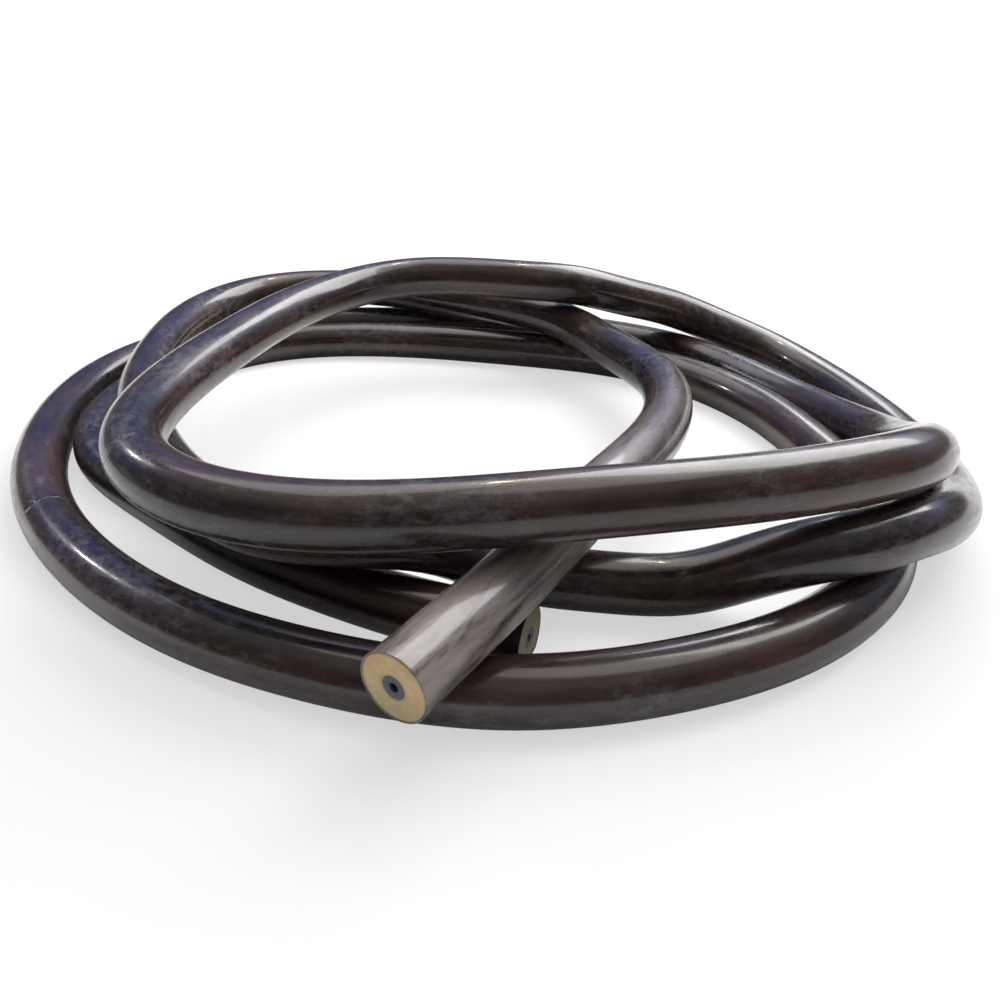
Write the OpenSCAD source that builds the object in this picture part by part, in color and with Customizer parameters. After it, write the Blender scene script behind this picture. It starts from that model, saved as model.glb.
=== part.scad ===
// A length of thick-walled rubber hose, lying in loose turns that cross over each other.
// It is open and square-cut at both ends and carries no fittings. Three bonded layers run
// its whole length: a dark dipped skin, an amber rubber wall and a slate liner round the bore.
// Millimetres, +Z up. The origin is under the middle of the lay, on the ground.

/* [Hose] */
// Outside diameter of the hose
hose_d = 16; // [15:0.1:16.2]
// Thickness of the dark skin
skin_t = 0.4; // [0.3:0.05:0.8]
// Outside diameter of the liner, over its corners
liner_d = 5.2; // [4:0.1:8]
// Diameter of the bore
bore_d = 2; // [1.2:0.1:3]

/* [Ends] */
// Length at each cut end that is straight and truly round
end_l = 16; // [16:1:20]
// Length over which the flat-sided hose opens out to the round end
flare_l = 2; // [1:0.5:4]

/* [Lay] */
// Left-to-right place of the middle of the lay
middle_x = -12.6; // [-20:0.1:0]
// Front-to-back place of the middle of the lay
middle_y = -14.9; // [-25:0.1:0]

/* [Facets] */
// Sides round the skin and round the wall
outer_sides = 8; // [8:2:12]
// Sides round the liner and along its bore
liner_sides = 6; // [6:2:8]
// How far the flat-sided hose stays inside the true circles of its round ends
facet_inset = 0.03; // [0.02:0.01:0.1]

/* [Hidden] */

skin_colour = [0.20, 0.16, 0.16];
wall_colour = [0.80, 0.67, 0.44];
liner_colour = [0.36, 0.40, 0.45];

// The hose presses a flat a tenth of its diameter deep where it lies on the ground.
flat_depth = hose_d / 10;
// Height of its middle there.
low = hose_d / 2 - flat_depth;

// ---- The route of the middle of the hose, from the near end to the far end ----

// From the near end, which lies on the front turns, back over the ground turns.
near_end_run = [
    [-11, -145, 22.8], [5, -121, 23.3], [18, -103, 27], [35, -74, 25.5], [52, -38, 23],
    [57, -2, 23], [46, 38, 20], [25, 74, 23.1]
];
// Round the back and the left, lying on the ground turns.
upper_back_left = [
    [-10, 98, 23], [-50, 119, 22.9], [-88, 126, 23], [-119, 111, 23], [-133, 78, 23],
    [-133, 38, 23], [-124, -8, 23], [-108, -46, 23], [-88, -76, 23], [-66, -97, 22.8]
];
// Along the front: down under the near end, then up over the lowest turn at the right.
dip_under_near_end = [
    [-47, -104, 23], [-31, -106, 23.3], [-14, -104, 20], [4, -103, 11], [23, -102, 7.5],
    [44, -105, 8], [59, -107, 14], [73, -109, 20.4], [88, -108, 23], [101, -102, 23.1]
];
// Round the right, back down on the outside of the ground turns.
outside_right = [
    [114, -92, 19.8], [125, -77, 15], [133, -60, 11.2], [138, -43, 8.5], [140, -26, 7],
    [140, -4, low], [136, 20, 7], [129, 45, 8]
];
// Up over the back, and round the left on top of everything.
climb_to_top = [
    [118, 67, 10.5], [99, 81, 16], [76, 83, 25], [55, 75, 31.6], [33, 68, 38.8],
    [11, 68, 40.6], [-12, 73, 40.9], [-37, 75, 40.4], [-60, 62, 39.4], [-79, 30, 39.4],
    [-90, -12, 39.4], [-96, -54, 39.6], [-91, -92, 39.4], [-64, -116, 38.4]
];
// Along the front on top, over the near end.
top_front = [
    [-26, -124, 39.2], [14, -121, 40.6], [50, -114, 40], [74, -108, 40], [93, -101, 39.9]
];
// Down at the right to the ground, between the outside run and the inner ground turn.
fall_at_right = [
    [105, -91, 37.3], [113, -78, 32], [120, -61, 24.5], [122.5, -45, 18.3], [124, -29, 14],
    [122, -10, 10], [116, 14, 7]
];
// The outer ground turn: back, left and front.
outer_ground_turn = [
    [104, 40, low], [86, 72, low], [60, 93, low], [28, 109, low], [-10, 116, low],
    [-50, 119, low], [-92, 117, low], [-130, 100, low], [-156, 70, low], [-165.5, 30, low],
    [-158.5, -15, low], [-141, -55, low], [-114, -89, low], [-80, -116, low],
    [-42, -133, low], [0, -142, low], [38, -136.5, low], [66, -126, low]
];
// The inner ground turn: right, back and left, and in to the far end.
inner_ground_turn = [
    [86, -112, low], [100, -96, low], [109, -76, low], [111, -54, low], [109, -32, low],
    [104, -6, low], [96, 18, low], [80, 43, low], [60, 61, low], [36, 73, low], [4, 82, low],
    [-40, 92, low], [-82, 93, low], [-115, 80, low], [-138, 50, low], [-145.5, 8, low],
    [-134, -29, low], [-104, -58, low], [-73, -84, low], [-47, -100, low], [-25, -111, low],
    [-8, -118, low]
];

route = concat(
    near_end_run, upper_back_left, dip_under_near_end, outside_right, climb_to_top,
    top_front, fall_at_right, outer_ground_turn, inner_ground_turn
);
last = len(route) - 1;

// ---- A smooth curve past those points: a uniform cubic B-spline, read at each of its knots ----

function unit(v) = v / norm(v);
function in_from_middle(p) = p - [middle_x, middle_y, 0];
function sharpness(i) = route[i - 1] - 2 * route[i] + route[i + 1];
function control(i) = i == 0 || i == last ? route[i] : route[i] - sharpness(i) / 6;
function off_the_ground(p) = [p.x, p.y, max(p.z, low)];

first_control = 2 * control(0) - control(1);
last_control = 2 * control(last) - control(last - 1);
controls = concat([first_control], [for (i = [0:last]) control(i)], [last_control]);

centres = [
    for (i = [0:last])
        in_from_middle(off_the_ground((controls[i] + 4 * controls[i + 1] + controls[i + 2]) / 6))
];
ways = [for (i = [0:last]) unit(controls[i + 2] - controls[i])];

near_tip = centres[0] - end_l * ways[0];
far_tip = centres[last] + end_l * ways[last];

// ---- Stations along the hose: where each ring of corners stands, which way it faces ----

near_flare = centres[0] - flare_l * ways[0];
far_flare = centres[last] + flare_l * ways[last];
station_centres = concat([near_tip, near_flare], centres, [far_flare, far_tip]);
station_ways = concat([ways[0], ways[0]], ways, [ways[last], ways[last]]);
last_station = len(station_centres) - 1;

// The first two and the last two stations belong to the round ends.
function in_round_end(s) = s < 2 || s > last_station - 2;

// The round ends are turned down from corners that stand just outside their circle.
true_corner = hose_d / 2 / cos(180 / outer_sides) + facet_inset;
hose_corner = hose_d / 2 - facet_inset;
wall_corner = hose_d / 2 - skin_t;
liner_corner = liner_d / 2;
bore_corner = bore_d / 2 - facet_inset;

// One ring of corners, with a flat side down, kept above the given height.
function ring(s, corner, sides, floor_z) =
    let (
        way = station_ways[s],
        side = unit(cross([0, 0, 1], way)),
        up = cross(way, side)
    )
    [
        for (k = [0:sides - 1])
            let (
                angle = (k + 0.5) * 360 / sides,
                p = station_centres[s] + corner * (sin(angle) * side - cos(angle) * up)
            )
            [p.x, p.y, max(p.z, floor_z)]
    ];

// ---- A layer: one unbroken tube with an outer face, an inner face and two cut ends ----

function quad(a, b, c, d) = [[a, b, c], [a, c, d]];
function turned(faces) = [for (f = faces) [f[2], f[1], f[0]]];

// Faces between neighbouring rings; ring s starts at point number base + s * sides.
function side_faces(base, sides) = [
    for (s = [0:last_station - 1], k = [0:sides - 1])
        let (a = base + s * sides, b = a + sides, next = (k + 1) % sides)
        for (f = quad(a + k, a + next, b + next, b + k)) f
];

// A flat washer between an outer ring and an inner ring with as many or fewer corners.
function nearest_inner(k, outer, inner) = floor(inner * (k + 1) / outer) % inner;
function washer_faces(outer_base, outer, inner_base, inner) = [
    for (k = [0:outer - 1])
        let (
            next = (k + 1) % outer,
            here = nearest_inner(k, outer, inner),
            there = nearest_inner(next, outer, inner),
            a = outer_base + k,
            b = outer_base + next,
            c = inner_base + here,
            d = inner_base + there
        )
        for (f = here == there ? [[a, c, b]] : [[a, c, b], [b, c, d]]) f
];

module layer(outer_rings, outer, inner_rings, inner) {
    rings = last_station + 1;
    inner_base = rings * outer;
    far_outer = last_station * outer;
    far_inner = inner_base + last_station * inner;
    polyhedron(
        points = [for (r = concat(outer_rings, inner_rings)) each r],
        faces = concat(
            turned(side_faces(0, outer)),
            side_faces(inner_base, inner),
            turned(washer_faces(0, outer, inner_base, inner)),
            washer_faces(far_outer, outer, far_inner, inner)
        ),
        convexity = 12
    );
}

function rings_of(corner, sides, floor_z) =
    [for (s = [0:last_station]) ring(s, corner, sides, floor_z)];
function skin_rings() = [
    for (s = [0:last_station])
        ring(s, in_round_end(s) ? true_corner : hose_corner, outer_sides, 0)
];

// ---- Tools that stand at the cut ends, pointing outward ----

module standing_at(p, way) {
    translate(p)
        rotate([0, acos(way.z), atan2(way.y, way.x)])
            children();
}

module at_both_ends() {
    standing_at(centres[0], -ways[0])
        children();
    standing_at(centres[last], ways[last])
        children();
}

overrun = 1;

// Turns the outside of a round end down to its circle.
module end_turning() {
    tool_corner = true_corner + 0.1;
    linear_extrude(end_l + overrun)
        difference() {
            rotate(180 / outer_sides)
                circle(r = tool_corner, $fn = outer_sides);
            circle(d = hose_d, $fn = 64);
        }
}

// Drills the bore of a round end. It starts a little way out from the last ring of corners.
drill_start = 0.4;
module end_drill() {
    translate([0, 0, drill_start])
        cylinder(h = end_l + overrun - drill_start, d = bore_d, $fn = 48);
}

// ---- The three layers ----

module outer_skin() {
    color(skin_colour)
        difference() {
            layer(skin_rings(), outer_sides, rings_of(wall_corner, outer_sides, skin_t), outer_sides);
            at_both_ends() end_turning();
        }
}

module rubber_wall() {
    color(wall_colour)
        layer(
            rings_of(wall_corner, outer_sides, skin_t), outer_sides,
            rings_of(liner_corner, liner_sides, skin_t), liner_sides
        );
}

module bore_liner() {
    color(liner_colour)
        difference() {
            layer(
                rings_of(liner_corner, liner_sides, skin_t), liner_sides,
                rings_of(bore_corner, liner_sides, skin_t), liner_sides
            );
            at_both_ends() end_drill();
        }
}

// ---- The least gap of the hose to itself, and its length, measured on points and printed ----

// Spacing of the measured points, and how far apart along the hose two must be to count.
point_step = 6;
apart = 70;

measured = [
    for (s = [0:last_station - 1])
        let (
            a = station_centres[s],
            b = station_centres[s + 1],
            n = ceil(norm(b - a) / point_step)
        )
        for (k = [0:n - 1]) a + (b - a) * k / n
];
skip = ceil(apart / (point_step / 2));
function gaps_from(i) = [
    for (j = [i + skip:1:len(measured) - 1]) norm(measured[j] - measured[i])
];
least_middles = min([
    for (i = [0:len(measured) - 1 - skip]) min(gaps_from(i))
]);
lengths = [for (s = [0:last_station - 1]) norm(station_centres[s + 1] - station_centres[s])];
function total(v, i = 0) = i == len(v) ? 0 : v[i] + total(v, i + 1);

echo(least_gap = least_middles - hose_d, hose_length = total(lengths));
echo(near_tip = near_tip, near_way = -ways[0], far_tip = far_tip, far_way = ways[last]);

outer_skin();
rubber_wall();
bore_liner();
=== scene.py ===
"""A length of thick-walled rubber hose, lying in loose turns that cross over each other.

Both ends are cut square and are bare. Three bonded layers run its whole length: a dark
dipped skin, an amber rubber wall and a slate liner round a small bore. Everything is in
metres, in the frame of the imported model: +Z up, the middle of the lay on the ground at zero.
"""

import math
from itertools import accumulate

import bpy
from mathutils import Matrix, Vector

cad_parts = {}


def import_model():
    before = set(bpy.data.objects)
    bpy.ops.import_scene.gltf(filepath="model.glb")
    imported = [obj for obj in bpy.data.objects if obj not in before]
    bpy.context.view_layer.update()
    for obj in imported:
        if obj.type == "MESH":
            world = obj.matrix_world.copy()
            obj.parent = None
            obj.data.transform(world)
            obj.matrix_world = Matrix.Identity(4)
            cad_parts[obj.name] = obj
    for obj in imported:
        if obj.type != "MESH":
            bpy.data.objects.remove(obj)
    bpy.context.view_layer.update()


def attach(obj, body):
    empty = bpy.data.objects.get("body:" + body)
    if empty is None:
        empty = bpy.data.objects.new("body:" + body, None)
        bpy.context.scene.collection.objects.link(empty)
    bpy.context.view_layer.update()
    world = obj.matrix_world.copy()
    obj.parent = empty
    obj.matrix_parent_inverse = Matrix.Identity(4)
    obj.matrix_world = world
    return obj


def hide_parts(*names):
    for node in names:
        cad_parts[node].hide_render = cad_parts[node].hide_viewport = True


# ---- Sizes ----

HOSE_R = 0.008
SKIN_T = 0.0004
LINER_R = 0.0026
BORE_R = 0.001
END_L = 0.016  # straight length at each cut end
HOSE_LENGTH = 3.1065  # along the middle, from tip to tip
FLAT_DEPTH = 2 * HOSE_R / 10  # pressed flat where the hose lies on the ground
LOW = HOSE_R - FLAT_DEPTH  # height of the hose's middle there
MIDDLE = Vector((-0.0126, -0.0149, 0))  # middle of the lay, in the route's own numbers

# ---- Marks of use ----

RUBBED_TO = 0.06  # hands have rubbed the hose pale from the near tip to here
RUBBING_ENDS = 0.18
CREASES = [1.381, 2.190]  # how far along the hose a fold has marked its skin
CREASE_W = 0.0007
CREASE_WANDER = 0.003  # how far a crease strays to either side of a straight ring
LINER_STAIN_W = 0.0011  # how far into the wall the liner has stained it
BROWN_RIM_W = 0.0012  # how far in from the outside of the hose the wall is browner

# ---- Fineness of the meshes ----

STEP = 0.0035  # between rings along the hose
SKIN_SIDES = 48
WALL_SIDES = 48
LINER_SIDES = 32
LAYER_GAP = 0.00001  # between two bonded layers, so that their faces don't flicker
EDGE = 0.00018  # rounding of the cut edges
EDGE_SHARE = 0.25  # the most that it takes of a layer's thickness
# From the cut face to a layer's side, in edge sizes: how deep, and how far in from the side.
EDGE_PROFILE = [(0, 1.6), (0, 1), (0.13, 0.5), (0.5, 0.13), (1, 0)]
# Where the rings of a straight end lie, as shares of its length: closer together at the tip.
END_SHARES = [0.25, 0.5, 0.7, 0.85, 0.93, 0.97, 1]
WALL_SUNK = 0.00006  # the softer wall springs back a little behind the cut skin
LINER_SUNK = 0.00012

# The vertex attribute that holds each corner's place in the hose.
PLACE = "hose_place"

# ---- Colours ----

WHITE = (1, 1, 1, 1)
SKIN_DARK = (0.012, 0.008, 0.0075, 1)
SKIN_RED = (0.052, 0.027, 0.0215, 1)
SKIN_WORN = (0.060, 0.047, 0.044, 1)
SKIN_DUST = (0.145, 0.143, 0.155, 1)
SKIN_RUBBED = (0.25, 0.215, 0.205, 1)
WALL_DEEP = (0.56, 0.41, 0.18, 1)
WALL_PALE = (0.70, 0.54, 0.28, 1)
# A darker, duller amber: the liner's stain, and the wall darker towards the bottom of the cut
# face.
WALL_DARKER = (0.33, 0.30, 0.18, 1)
WALL_RIM = (0.44, 0.25, 0.10, 1)
# Greyer, darker wall for the far cut face: partly grime, partly painted shade, as that face lies
# in shade.
WALL_GRIME_AND_SHADE = (0.19, 0.18, 0.13, 1)
LINER_DEEP = (0.035, 0.048, 0.062, 1)
LINER_BLUE = (0.060, 0.080, 0.125, 1)
LINER_PALE = (0.09, 0.11, 0.14, 1)
ROOM_FRONT = (0.15, 0.125, 0.115, 1)
ROOM_LOW = (0.08, 0.075, 0.075, 1)
ROOM_BACK_LEFT = (0.12, 0.19, 0.50, 1)
ROOM_BACK_RIGHT = (0.48, 0.58, 0.90, 1)
ROOM_ABOVE = (0.46, 0.455, 0.445, 1)

# ---- Tabletop ----

TABLE_FRONT = -1.5
TABLE_BACK = 6.0
TABLE_HALF_W = 5.0
TABLE_Z = -0.0001  # just under the hose's flat, so that their faces don't flicker
TABLE_WHITE = (0.82, 0.82, 0.82, 1)
# How much of the tabletop's look is plain white, where the rest takes shadows.
GLOW_SEEN = 0.6
GLOW_REFLECTED = 0.05
# Between these distances from the middle of the lay it fades to plain white.
FADE_FROM = 0.3
FADE_TO = 0.9

# ---- Camera ----

CAMERA_PLACE = (0.0126, -0.2551, 0.126)
CAMERA_TILT = math.radians(60.5)  # up from looking straight down
CAMERA_LENS = 28.8  # in millimetres, like the sensor
CAMERA_SENSOR = 36
CAMERA_CLIP = 0.01

# ---- The route of the middle of the hose, from the near end to the far end ----

NEAR_END_RUN = [
    (-0.011, -0.145, 0.0228), (0.005, -0.121, 0.0233), (0.018, -0.103, 0.027),
    (0.035, -0.074, 0.0255), (0.052, -0.038, 0.023), (0.057, -0.002, 0.023),
    (0.046, 0.038, 0.020), (0.025, 0.074, 0.0231),
]
UPPER_BACK_LEFT = [
    (-0.010, 0.098, 0.023), (-0.050, 0.119, 0.0229), (-0.088, 0.126, 0.023),
    (-0.119, 0.111, 0.023), (-0.133, 0.078, 0.023), (-0.133, 0.038, 0.023),
    (-0.124, -0.008, 0.023), (-0.108, -0.046, 0.023), (-0.088, -0.076, 0.023),
    (-0.066, -0.097, 0.0228),
]
DIP_UNDER_NEAR_END = [
    (-0.047, -0.104, 0.023), (-0.031, -0.106, 0.0233), (-0.014, -0.104, 0.020),
    (0.004, -0.103, 0.011), (0.023, -0.102, 0.0075), (0.044, -0.105, 0.008),
    (0.059, -0.107, 0.014), (0.073, -0.109, 0.0204), (0.088, -0.108, 0.023),
    (0.101, -0.102, 0.0231),
]
OUTSIDE_RIGHT = [
    (0.114, -0.092, 0.0198), (0.125, -0.077, 0.015), (0.133, -0.060, 0.0112),
    (0.138, -0.043, 0.0085), (0.140, -0.026, 0.007), (0.140, -0.004, LOW), (0.136, 0.020, 0.007),
    (0.129, 0.045, 0.008),
]
CLIMB_TO_TOP = [
    (0.118, 0.067, 0.0105), (0.099, 0.081, 0.016), (0.076, 0.083, 0.025), (0.055, 0.075, 0.0316),
    (0.033, 0.068, 0.0388), (0.011, 0.068, 0.0406), (-0.012, 0.073, 0.0409),
    (-0.037, 0.075, 0.0404), (-0.060, 0.062, 0.0394), (-0.079, 0.030, 0.0394),
    (-0.090, -0.012, 0.0394), (-0.096, -0.054, 0.0396), (-0.091, -0.092, 0.0394),
    (-0.064, -0.116, 0.0384),
]
TOP_FRONT = [
    (-0.026, -0.124, 0.0392), (0.014, -0.121, 0.0406), (0.050, -0.114, 0.040),
    (0.074, -0.108, 0.040), (0.093, -0.101, 0.0399),
]
FALL_AT_RIGHT = [
    (0.105, -0.091, 0.0373), (0.113, -0.078, 0.032), (0.120, -0.061, 0.0245),
    (0.1225, -0.045, 0.0183), (0.124, -0.029, 0.014), (0.122, -0.010, 0.010),
    (0.116, 0.014, 0.007),
]
OUTER_GROUND_TURN = [
    (0.104, 0.040, LOW), (0.086, 0.072, LOW), (0.060, 0.093, LOW), (0.028, 0.109, LOW),
    (-0.010, 0.116, LOW), (-0.050, 0.119, LOW), (-0.092, 0.117, LOW), (-0.130, 0.100, LOW),
    (-0.156, 0.070, LOW), (-0.1655, 0.030, LOW), (-0.1585, -0.015, LOW), (-0.141, -0.055, LOW),
    (-0.114, -0.089, LOW), (-0.080, -0.116, LOW), (-0.042, -0.133, LOW), (0.000, -0.142, LOW),
    (0.038, -0.1365, LOW), (0.066, -0.126, LOW),
]
INNER_GROUND_TURN = [
    (0.086, -0.112, LOW), (0.100, -0.096, LOW), (0.109, -0.076, LOW), (0.111, -0.054, LOW),
    (0.109, -0.032, LOW), (0.104, -0.006, LOW), (0.096, 0.018, LOW), (0.080, 0.043, LOW),
    (0.060, 0.061, LOW), (0.036, 0.073, LOW), (0.004, 0.082, LOW), (-0.040, 0.092, LOW),
    (-0.082, 0.093, LOW), (-0.115, 0.080, LOW), (-0.138, 0.050, LOW), (-0.1455, 0.008, LOW),
    (-0.134, -0.029, LOW), (-0.104, -0.058, LOW), (-0.073, -0.084, LOW), (-0.047, -0.100, LOW),
    (-0.025, -0.111, LOW), (-0.008, -0.118, LOW),
]
ROUTE = (
    NEAR_END_RUN + UPPER_BACK_LEFT + DIP_UNDER_NEAR_END + OUTSIDE_RIGHT + CLIMB_TO_TOP
    + TOP_FRONT + FALL_AT_RIGHT + OUTER_GROUND_TURN + INNER_GROUND_TURN
)


# ---- The centreline ----


def curve_controls(route):
    """The controls of a cubic B-spline that runs nearly through the route's points."""
    points = [Vector(p) for p in route]
    controls = [points[0]]
    for before, here, after in zip(points, points[1:], points[2:]):
        controls.append(here - (before - 2 * here + after) / 6)
    controls.append(points[-1])
    first = 2 * controls[0] - controls[1]
    last = 2 * controls[-1] - controls[-2]
    return [first, *controls, last]


def curve_at(controls, span, u):
    """The point and the way of the curve at u, from 0 to 1, in one span."""
    a, b, c, d = controls[span : span + 4]
    point = (
        (1 - u) ** 3 * a
        + (3 * u**3 - 6 * u**2 + 4) * b
        + (-3 * u**3 + 3 * u**2 + 3 * u + 1) * c
        + u**3 * d
    ) / 6
    way = (1 - u) ** 2 * (b - a) + (-2 * u**2 + 2 * u + 1) * (c - b) + u**2 * (d - c)
    return point, way.normalized()


def curved_stretch():
    """Points and ways along the curved part of the hose, about a step apart."""
    controls = curve_controls(ROUTE)
    found = []
    spans = len(controls) - 3
    for span in range(spans):
        start, _ = curve_at(controls, span, 0)
        end, _ = curve_at(controls, span, 1)
        steps = math.ceil((end - start).length / STEP)
        for k in range(steps):
            found.append(curve_at(controls, span, k / steps))
    found.append(curve_at(controls, spans - 1, 1))
    return [(Vector((p.x, p.y, max(p.z, LOW))) - MIDDLE, way) for p, way in found]


def straight_end(start, way):
    """Points from the start of a straight end to its tip."""
    return [start + share * END_L * way for share in END_SHARES]


def hose_stations():
    """Every ring's middle and way, from the near tip to the far tip."""
    curved = curved_stretch()
    (first, first_way), (last, last_way) = curved[0], curved[-1]
    near = [(p, first_way) for p in reversed(straight_end(first, -first_way))]
    far = [(p, last_way) for p in straight_end(last, last_way)]
    return near + curved + far


def hose_rows():
    """Every ring's middle, way and distance along the hose from the near tip."""
    middles, ways = zip(*hose_stations())
    steps = [(after - before).length for before, after in zip(middles, middles[1:])]
    return list(zip(middles, ways, accumulate(steps, initial=0.0)))


# ---- Meshes of the layers ----


def add_object(name, data):
    """A new object in the scene, from its mesh, light or camera."""
    obj = bpy.data.objects.new(name, data)
    bpy.context.scene.collection.objects.link(obj)
    return obj


class Tube:
    """Collects the rings of one closed layer of the hose, each corner with its place in it.

    A corner's place is how far it lies to the side of and above the middle, and how far
    along the hose: the materials' patterns follow it, so they bend with the hose.
    """

    def __init__(self, sides):
        self.sides = sides
        self.points = []
        self.places = []
        self.rings = 0

    def ring(self, middle, way, along, radius, ground):
        """Adds one ring across the hose, pressed flat where it would reach below ground."""
        side = Vector((0, 0, 1)).cross(way).normalized()
        up = way.cross(side)
        for k in range(self.sides):
            angle = 2 * math.pi * k / self.sides
            across, above = radius * math.sin(angle), -radius * math.cos(angle)
            point = middle + across * side + above * up
            point.z = max(point.z, ground)
            self.points.append(point)
            self.places.append((across, above, along))
        self.rings += 1

    def faces(self):
        """Quads between neighbouring rings, and from the last ring back to the first."""
        made = []
        for ring in range(self.rings):
            here, there = ring * self.sides, (ring + 1) % self.rings * self.sides
            for k in range(self.sides):
                following = (k + 1) % self.sides
                made.append((here + k, here + following, there + following, there + k))
        return made

    def build(self, name):
        """The object that the collected rings make."""
        mesh = bpy.data.meshes.new(name)
        mesh.from_pydata(self.points, [], self.faces())
        places = mesh.attributes.new(PLACE, "FLOAT_VECTOR", "POINT")
        places.data.foreach_set("vector", [n for place in self.places for n in place])
        mesh.shade_smooth()
        return add_object(name, mesh)


def rounded_edge(tip, inwards, radius, towards, size, sunk):
    """Rings of a rounded edge, from the cut face to the side of the layer.

    inwards is 1 at the near tip and -1 at the far tip, and towards is -1 on the layer's
    outside and 1 on its inside, where the edge's rings are wider than the side.
    """
    middle, way, along = tip
    rings = []
    for depth, inset in EDGE_PROFILE:
        back = inwards * (sunk + depth * size)
        rings.append((middle + back * way, way, along + back, radius + towards * inset * size))
    return rings


def layer_side(rows, radius, towards, size, sunk):
    """Rings along one side of a layer, from the near cut face to the far one."""
    near, far, between = rows[0], rows[-1], rows[1:-1]
    return (
        rounded_edge(near, 1, radius, towards, size, sunk)
        + [(*row, radius) for row in between]
        + rounded_edge(far, -1, radius, towards, size, sunk)[::-1]
    )


def hose_layer(name, rows, sides, outer_r, inner_r, sunk=0.0, ground=0.0):
    """One layer from tip to tip: a closed tube with two cut ends."""
    size = min(EDGE, EDGE_SHARE * (outer_r - inner_r))
    outside = layer_side(rows, outer_r, -1, size, sunk)
    inside = layer_side(rows, inner_r, 1, size, sunk)
    tube = Tube(sides)
    for middle, way, along, radius in outside + inside[::-1]:
        tube.ring(middle, way, along, radius, ground)
    return tube.build(name)


# ---- Nodes ----


def set_inputs(tree, node, inputs):
    """Sets each of these inputs of a node to its value, or links it to another's output."""
    for socket, value in inputs.items():
        if isinstance(value, bpy.types.NodeSocket):
            tree.links.new(value, node.inputs[socket])
        else:
            node.inputs[socket].default_value = value


def add_node(tree, kind, inputs=None, **settings):
    """A new node with its settings and inputs."""
    node = tree.nodes.new(kind)
    for name, value in settings.items():
        setattr(node, name, value)
    set_inputs(tree, node, inputs or {})
    return node


def mix_colours(tree, factor, a, b):
    """Colour a, with as much of colour b in it as the factor says."""
    # The colour inputs of a Mix node are its seventh and eighth, its colour output the third.
    node = add_node(tree, "ShaderNodeMix", {0: factor, 6: a, 7: b}, data_type="RGBA")
    return node.outputs[2]


def maths(tree, operation, a, b=0.0):
    """The result of a Math node."""
    return add_node(tree, "ShaderNodeMath", {0: a, 1: b}, operation=operation).outputs[0]


def spread(tree, value, low, high, to_low=0.0, to_high=1.0):
    """Takes the values from low to high smoothly to the new ones."""
    inputs = {
        "Value": value, "From Min": low, "From Max": high, "To Min": to_low, "To Max": to_high,
    }
    node = add_node(tree, "ShaderNodeMapRange", inputs, interpolation_type="SMOOTHSTEP")
    return node.outputs["Result"]


def bump(tree, height, distance, strength, under=None):
    """The normal of a relief that is this many metres high, on top of the one under it."""
    inputs = {"Height": height, "Distance": distance, "Strength": strength}
    if under is not None:
        inputs["Normal"] = under
    return add_node(tree, "ShaderNodeBump", inputs).outputs["Normal"]


def hose_place(tree, stretch=1.0):
    """The place in the hose, with patterns drawn out along it by stretch."""
    place = add_node(tree, "ShaderNodeAttribute", attribute_name=PLACE).outputs["Vector"]
    if stretch == 1.0:
        return place
    inputs = {"Vector": place, "Scale": (1, 1, 1 / stretch)}
    return add_node(tree, "ShaderNodeMapping", inputs).outputs["Vector"]


def hose_noise(tree, scale, detail, roughness=0.5, distortion=0.0, stretch=1.0):
    """Noise that follows the hose: about scale cells to a metre, drawn out by stretch."""
    inputs = {
        "Vector": hose_place(tree, stretch), "Scale": scale, "Detail": detail,
        "Roughness": roughness, "Distortion": distortion,
    }
    return add_node(tree, "ShaderNodeTexNoise", inputs).outputs["Fac"]


def above_the_middle(tree):
    """How far a point lies above the middle of the hose."""
    return add_node(tree, "ShaderNodeSeparateXYZ", {0: hose_place(tree)}).outputs["Y"]


def along_the_hose(tree):
    """How far a point lies from the near tip, along the hose."""
    return add_node(tree, "ShaderNodeSeparateXYZ", {0: hose_place(tree)}).outputs["Z"]


def out_from_the_middle(tree):
    """How far a point lies from the middle of the hose, across it."""
    inputs = {0: hose_place(tree), 1: (1, 1, 0)}
    flat = add_node(tree, "ShaderNodeVectorMath", inputs, operation="MULTIPLY").outputs["Vector"]
    return add_node(tree, "ShaderNodeVectorMath", {0: flat}, operation="LENGTH").outputs["Value"]


def new_material(name):
    """A new material, with its node tree and its main shader."""
    material = bpy.data.materials.new(name)
    material.use_nodes = True
    return material, material.node_tree, material.node_tree.nodes["Principled BSDF"]


# ---- The dark skin ----


def skin_streaks(tree):
    """Fine marks along the hose, from the dipping."""
    return hose_noise(tree, scale=900, detail=4, roughness=0.6, stretch=14)


def skin_speckle(tree):
    """Fine speckle all over the skin."""
    grains = hose_noise(tree, scale=420, detail=6, roughness=0.72, distortion=0.4, stretch=1.6)
    return spread(tree, grains, low=0.42, high=0.66)


def skin_bloom(tree, speckle):
    """Patches in which the speckle is pale."""
    patches = hose_noise(tree, scale=38, detail=4, roughness=0.6, stretch=2)
    return maths(tree, "MULTIPLY", spread(tree, patches, low=0.42, high=0.66), speckle)


def hand_rubbing(tree):
    """Smears on the near end, where hands have rubbed it."""
    near = spread(tree, along_the_hose(tree), RUBBED_TO, RUBBING_ENDS, to_low=1, to_high=0)
    smears = hose_noise(tree, scale=190, detail=5, roughness=0.65, distortion=0.5, stretch=5)
    return maths(tree, "MULTIPLY", near, spread(tree, smears, low=0.3, high=0.62))


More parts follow.
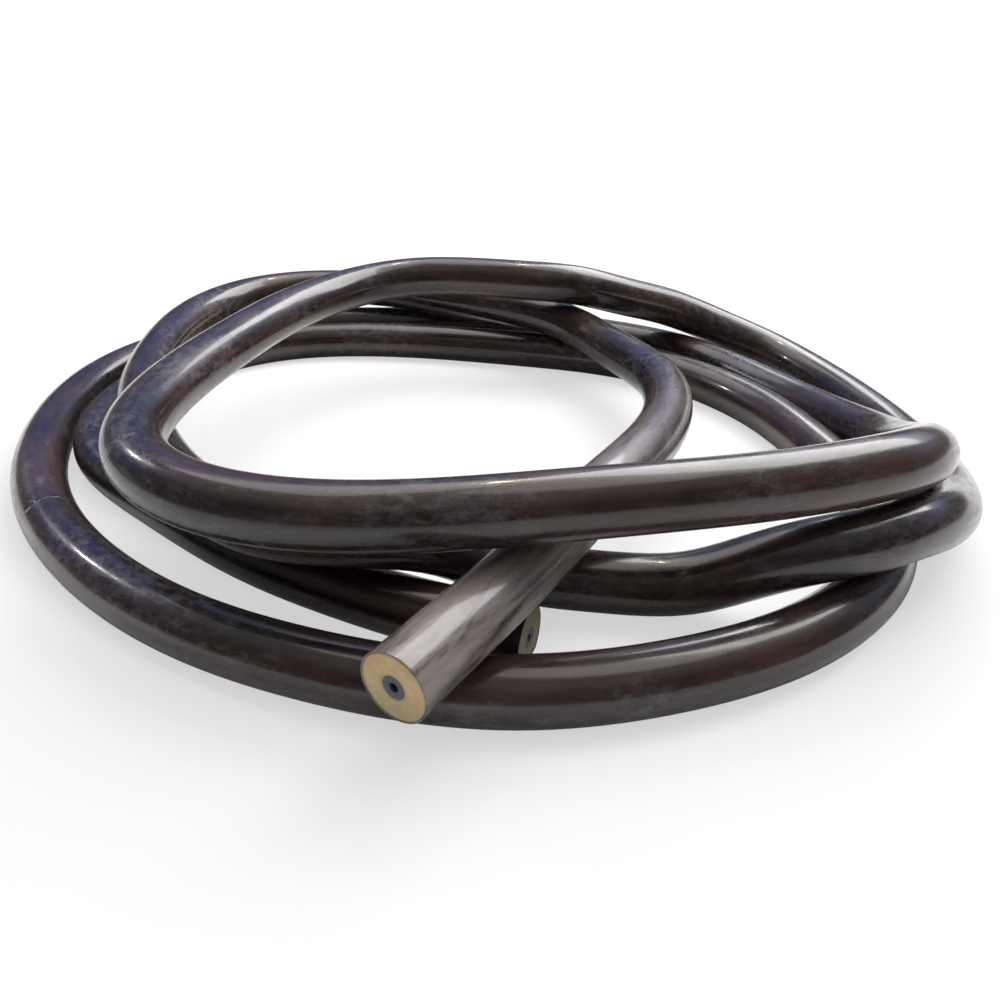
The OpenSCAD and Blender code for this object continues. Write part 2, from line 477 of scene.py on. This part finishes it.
def crease_marks(tree):
    """Faint broken lines across the hose, where folds have strained the skin."""
    bends = hose_noise(tree, scale=150, detail=3)
    shift = spread(tree, bends, low=0, high=1, to_low=-CREASE_WANDER, to_high=CREASE_WANDER)
    along = maths(tree, "ADD", along_the_hose(tree), shift)
    marks = 0.0
    for crease in CREASES:
        away = maths(tree, "ABSOLUTE", maths(tree, "SUBTRACT", along, crease))
        mark = spread(tree, away, low=0, high=CREASE_W, to_low=1, to_high=0)
        marks = maths(tree, "ADD", marks, mark)
    breaks = hose_noise(tree, scale=90, detail=2)
    return maths(tree, "MULTIPLY", marks, spread(tree, breaks, low=0.34, high=0.5))


def skin_colour(tree, streaks, bloom, rubbing, creases):
    """Black to red-brown, greyer in its streaks and pale in its marks."""
    tones = hose_noise(tree, scale=70, detail=5, roughness=0.65, stretch=3)
    colour = mix_colours(tree, spread(tree, tones, low=0.38, high=0.66), SKIN_DARK, SKIN_RED)
    worn = spread(tree, streaks, low=0.5, high=0.8, to_high=0.35)
    colour = mix_colours(tree, worn, colour, SKIN_WORN)
    for marks, share, mark_colour in (
        (bloom, 0.5, SKIN_DUST),
        (rubbing, 0.8, SKIN_RUBBED),
        (creases, 0.6, SKIN_DUST),
    ):
        colour = mix_colours(tree, maths(tree, "MULTIPLY", marks, share), colour, mark_colour)
    return colour


def skin_roughness(tree, speckle, bloom, rubbing):
    """Half gloss in bands along the hose, duller in its marks."""
    bands = hose_noise(tree, scale=260, detail=4, roughness=0.6, stretch=9)
    roughness = spread(tree, bands, low=0.32, high=0.7, to_low=0.16, to_high=0.35)
    for marks, share in ((speckle, 0.07), (bloom, 0.1), (rubbing, 0.08)):
        roughness = maths(tree, "ADD", roughness, maths(tree, "MULTIPLY", marks, share))
    return roughness


def skin_ripple(tree):
    """The soft unevenness that dipped rubber has."""
    swells = hose_noise(tree, scale=75, detail=2, stretch=2.5)
    return bump(tree, swells, distance=0.0005, strength=0.5)


def skin_relief(tree, ripple, streaks, creases):
    """Short waves, folds, streaks and grain, on top of the ripple."""
    waves = hose_noise(tree, scale=240, detail=3, stretch=5)
    grain = hose_noise(tree, scale=2600, detail=3)
    relief = ripple
    for height, distance, strength in (
        (waves, 0.0001, 0.6),
        (creases, 0.0003, 0.8),
        (streaks, 0.00003, 0.6),
        (grain, 0.00003, 0.5),
    ):
        relief = bump(tree, height, distance, strength, under=relief)
    return relief


def skin_material():
    """Dark brown dipped rubber, half gloss, streaked along the hose and marked by use."""
    material, tree, shader = new_material("dark_dipped_rubber")
    streaks = skin_streaks(tree)
    speckle = skin_speckle(tree)
    bloom = skin_bloom(tree, speckle)
    rubbing = hand_rubbing(tree)
    creases = crease_marks(tree)
    ripple = skin_ripple(tree)
    inputs = {
        "Base Color": skin_colour(tree, streaks, bloom, rubbing, creases),
        "Roughness": skin_roughness(tree, speckle, bloom, rubbing),
        "Normal": skin_relief(tree, ripple, streaks, creases),
        "Specular IOR Level": 0.4,
        "Coat Weight": 0.45,
        "Coat Roughness": 0.1,
        "Coat Normal": ripple,
    }
    set_inputs(tree, shader, inputs)
    return material


# ---- The wall and the liner ----


def wall_colour(tree, clouds):
    """Cloudy amber: stained at the liner, darker towards the bottom, brown at the skin, and
    greyer and darker far along, which is partly grime and partly painted shade.
    """
    colour = mix_colours(tree, spread(tree, clouds, low=0.3, high=0.7), WALL_DEEP, WALL_PALE)
    radius = out_from_the_middle(tree)
    near_liner = spread(tree, radius, LINER_R, LINER_R + LINER_STAIN_W, to_low=0.75, to_high=0)
    near_skin = spread(tree, radius, HOSE_R - BROWN_RIM_W, HOSE_R - SKIN_T, to_high=0.45)
    above = above_the_middle(tree)
    # Darker towards the bottom of the cut face.
    lower_half = spread(tree, above, -HOSE_R, 0.2 * HOSE_R, to_low=0.6, to_high=0)
    # The far cut face is greyer and darker: partly grime, partly painted shade.
    far_grime_and_shade = spread(tree, along_the_hose(tree), HOSE_LENGTH / 2, HOSE_LENGTH, to_high=0.75)
    for share, stain in (
        (near_liner, WALL_DARKER),
        (near_skin, WALL_RIM),
        (lower_half, WALL_DARKER),
        (far_grime_and_shade, WALL_GRIME_AND_SHADE),
    ):
        colour = mix_colours(tree, share, colour, stain)
    return colour


def knife_marks(tree):
    """Faint drawn lines across the cut face."""
    inputs = {
        "Vector": hose_place(tree), "Scale": 420, "Distortion": 3, "Detail": 3, "Detail Scale": 2,
    }
    lines = add_node(tree, "ShaderNodeTexWave", inputs, bands_direction="DIAGONAL")
    return lines.outputs["Fac"]


def wall_material():
    """Amber natural rubber, as a knife leaves it: cloudy, with faint drawn marks."""
    material, tree, shader = new_material("amber_rubber")
    clouds = hose_noise(tree, scale=260, detail=4, roughness=0.6)
    marks = bump(tree, knife_marks(tree), distance=0.00003, strength=0.5)
    grain = hose_noise(tree, scale=3200, detail=3)
    inputs = {
        "Base Color": wall_colour(tree, clouds),
        "Roughness": spread(tree, clouds, low=0.3, high=0.7, to_low=0.5, to_high=0.62),
        "Normal": bump(tree, grain, distance=0.00003, strength=0.6, under=marks),
        "Subsurface Weight": 0.15,
        "Subsurface Radius": (0.0022, 0.0014, 0.0006),
        "Subsurface Scale": 1.0,
    }
    set_inputs(tree, shader, inputs)
    return material


def liner_material():
    """Slate-grey rubber, paler where it meets the wall."""
    material, tree, shader = new_material("slate_rubber")
    clouds = hose_noise(tree, scale=700, detail=3, roughness=0.6)
    colour = mix_colours(tree, spread(tree, clouds, low=0.3, high=0.7), LINER_DEEP, LINER_BLUE)
    outward = spread(tree, out_from_the_middle(tree), BORE_R * 1.3, LINER_R, to_high=0.6)
    grain = hose_noise(tree, scale=2800, detail=3)
    inputs = {
        "Base Color": mix_colours(tree, outward, colour, LINER_PALE),
        "Roughness": spread(tree, clouds, low=0.3, high=0.7, to_low=0.38, to_high=0.52),
        "Normal": bump(tree, grain, distance=0.00003, strength=0.5),
    }
    set_inputs(tree, shader, inputs)
    return material


# ---- The hose ----


def make_hose():
    """The three layers of the hose, each with its material, in place of the model's parts."""
    rows = hose_rows()
    skin_inner = HOSE_R - SKIN_T
    wall_outer = skin_inner - LAYER_GAP
    wall_inner = LINER_R + LAYER_GAP
    skin = hose_layer("hose_skin", rows, SKIN_SIDES, HOSE_R, skin_inner)
    wall = hose_layer(
        "hose_wall", rows, WALL_SIDES, wall_outer, wall_inner, sunk=WALL_SUNK, ground=SKIN_T
    )
    liner = hose_layer("hose_liner", rows, LINER_SIDES, LINER_R, BORE_R, sunk=LINER_SUNK)

    for piece, node, slot, material in (
        (skin, "outer_skin", "skin", skin_material()),
        (wall, "rubber_wall", "wall", wall_material()),
        (liner, "bore_liner", "liner", liner_material()),
    ):
        piece.data.materials.append(material)
        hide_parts(node)
        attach(piece, "root")


# ---- Tabletop, room, lights and camera ----


def tabletop_material():
    """White tabletop. To the camera and in reflections it looks white, with soft shadows."""
    material, tree, lit = new_material("white_tabletop")
    set_inputs(tree, lit, {"Base Color": TABLE_WHITE, "Specular IOR Level": 0})
    ray = add_node(tree, "ShaderNodeLightPath").outputs
    position = add_node(tree, "ShaderNodeNewGeometry").outputs["Position"]
    length = add_node(tree, "ShaderNodeVectorMath", {0: position}, operation="LENGTH")
    glow = spread(tree, length.outputs["Value"], FADE_FROM, FADE_TO, to_low=GLOW_SEEN)
    seen = maths(tree, "MULTIPLY", ray["Is Camera Ray"], glow)
    reflected = maths(tree, "MULTIPLY", ray["Is Glossy Ray"], GLOW_REFLECTED)
    white = add_node(tree, "ShaderNodeEmission", {"Color": WHITE, "Strength": 1})
    share = maths(tree, "MAXIMUM", seen, reflected)
    shaders = {0: share, 1: lit.outputs[0], 2: white.outputs[0]}
    mixed = add_node(tree, "ShaderNodeMixShader", shaders)
    set_inputs(tree, tree.nodes["Material Output"], {"Surface": mixed.outputs[0]})
    return material


def make_floor():
    """The tabletop that the hose lies on: one wide quad."""
    mesh = bpy.data.meshes.new("floor")
    points = [
        (-TABLE_HALF_W, TABLE_FRONT, TABLE_Z), (TABLE_HALF_W, TABLE_FRONT, TABLE_Z),
        (TABLE_HALF_W, TABLE_BACK, TABLE_Z), (-TABLE_HALF_W, TABLE_BACK, TABLE_Z),
    ]
    mesh.from_pydata(points, [], [(0, 1, 2, 3)])
    mesh.materials.append(tabletop_material())
    floor = add_object("floor", mesh)


def make_world():
    """A white background, and a room that is pale above, dim in front and bluish behind."""
    world = bpy.data.worlds.new("studio")
    world.use_nodes = True
    tree = world.node_tree
    tree.nodes.clear()
    way = add_node(tree, "ShaderNodeTexCoord").outputs["Generated"]
    parts = add_node(tree, "ShaderNodeSeparateXYZ", {0: way})
    rightward = spread(tree, parts.outputs["X"], low=-0.3, high=0.4)
    backward = spread(tree, parts.outputs["Y"], low=-0.3, high=0.6)
    off_the_table = spread(tree, parts.outputs["Z"], low=0.14, high=0.38)
    upward = spread(tree, parts.outputs["Z"], low=0.5, high=0.9)
    windows = mix_colours(tree, rightward, ROOM_BACK_LEFT, ROOM_BACK_RIGHT)
    back_wall = mix_colours(tree, off_the_table, ROOM_LOW, windows)
    walls = mix_colours(tree, backward, ROOM_FRONT, back_wall)
    room = mix_colours(tree, upward, walls, ROOM_ABOVE)
    seen = add_node(tree, "ShaderNodeLightPath").outputs["Is Camera Ray"]
    colour = mix_colours(tree, seen, room, WHITE)
    shader = add_node(tree, "ShaderNodeBackground", {"Color": colour})
    add_node(tree, "ShaderNodeOutputWorld", {"Surface": shader.outputs[0]})
    bpy.context.scene.world = world


def make_light(name, kind, towards, distance, **settings):
    """A light that shines on the lay from the given way, at the given distance."""
    data = bpy.data.lights.new(name, kind)
    for setting, value in settings.items():
        setattr(data, setting, value)
    light = add_object(name, data)
    way = Vector(towards).normalized()
    light.location = distance * way
    light.rotation_euler = way.to_track_quat("Z", "Y").to_euler()


def make_lights():
    """A soft ceiling, a window at the back right, a pale wall, and two lamps for glints."""
    make_light(
        "ceiling", "SUN", towards=(0.25, 0.12, 1), distance=2,
        energy=0.45, color=(1, 0.98, 0.95), angle=math.radians(34),
    )
    make_light(
        "window", "AREA", towards=(0.46, 0.50, 0.73), distance=1.2,
        energy=17, color=(1, 0.99, 0.97), shape="RECTANGLE", size=1.0, size_y=0.75,
    )
    make_light(
        "pale_wall", "AREA", towards=(-0.24, 0.42, 0.88), distance=1.2,
        energy=4, color=(1, 0.96, 0.94), shape="RECTANGLE", size=0.8, size_y=0.7,
    )
    make_light(
        "warm_lamp", "AREA", towards=(0, 0.6, 1), distance=1.3,
        energy=1.2, color=(1, 0.8, 0.5), size=0.05,
    )
    make_light(
        "side_lamp", "AREA", towards=(-0.75, 0.36, 0.55), distance=1.2,
        energy=1.2, color=(1, 0.97, 0.92), size=0.05,
    )


def make_camera():
    """A camera in front of the lay, a little above it, that looks down on it."""
    camera = add_object("camera", bpy.data.cameras.new("camera"))
    camera.data.sensor_width = CAMERA_SENSOR
    camera.data.lens = CAMERA_LENS
    camera.data.clip_start = CAMERA_CLIP
    camera.location = CAMERA_PLACE
    camera.rotation_euler = (CAMERA_TILT, 0, 0)
    bpy.context.scene.camera = camera


# ---- The scene ----


def main():
    """Makes the whole scene."""
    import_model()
    scene = bpy.context.scene
    scene.view_settings.view_transform = "Standard"
    make_camera()
    make_hose()
    make_floor()
    make_world()
    make_lights()


main()
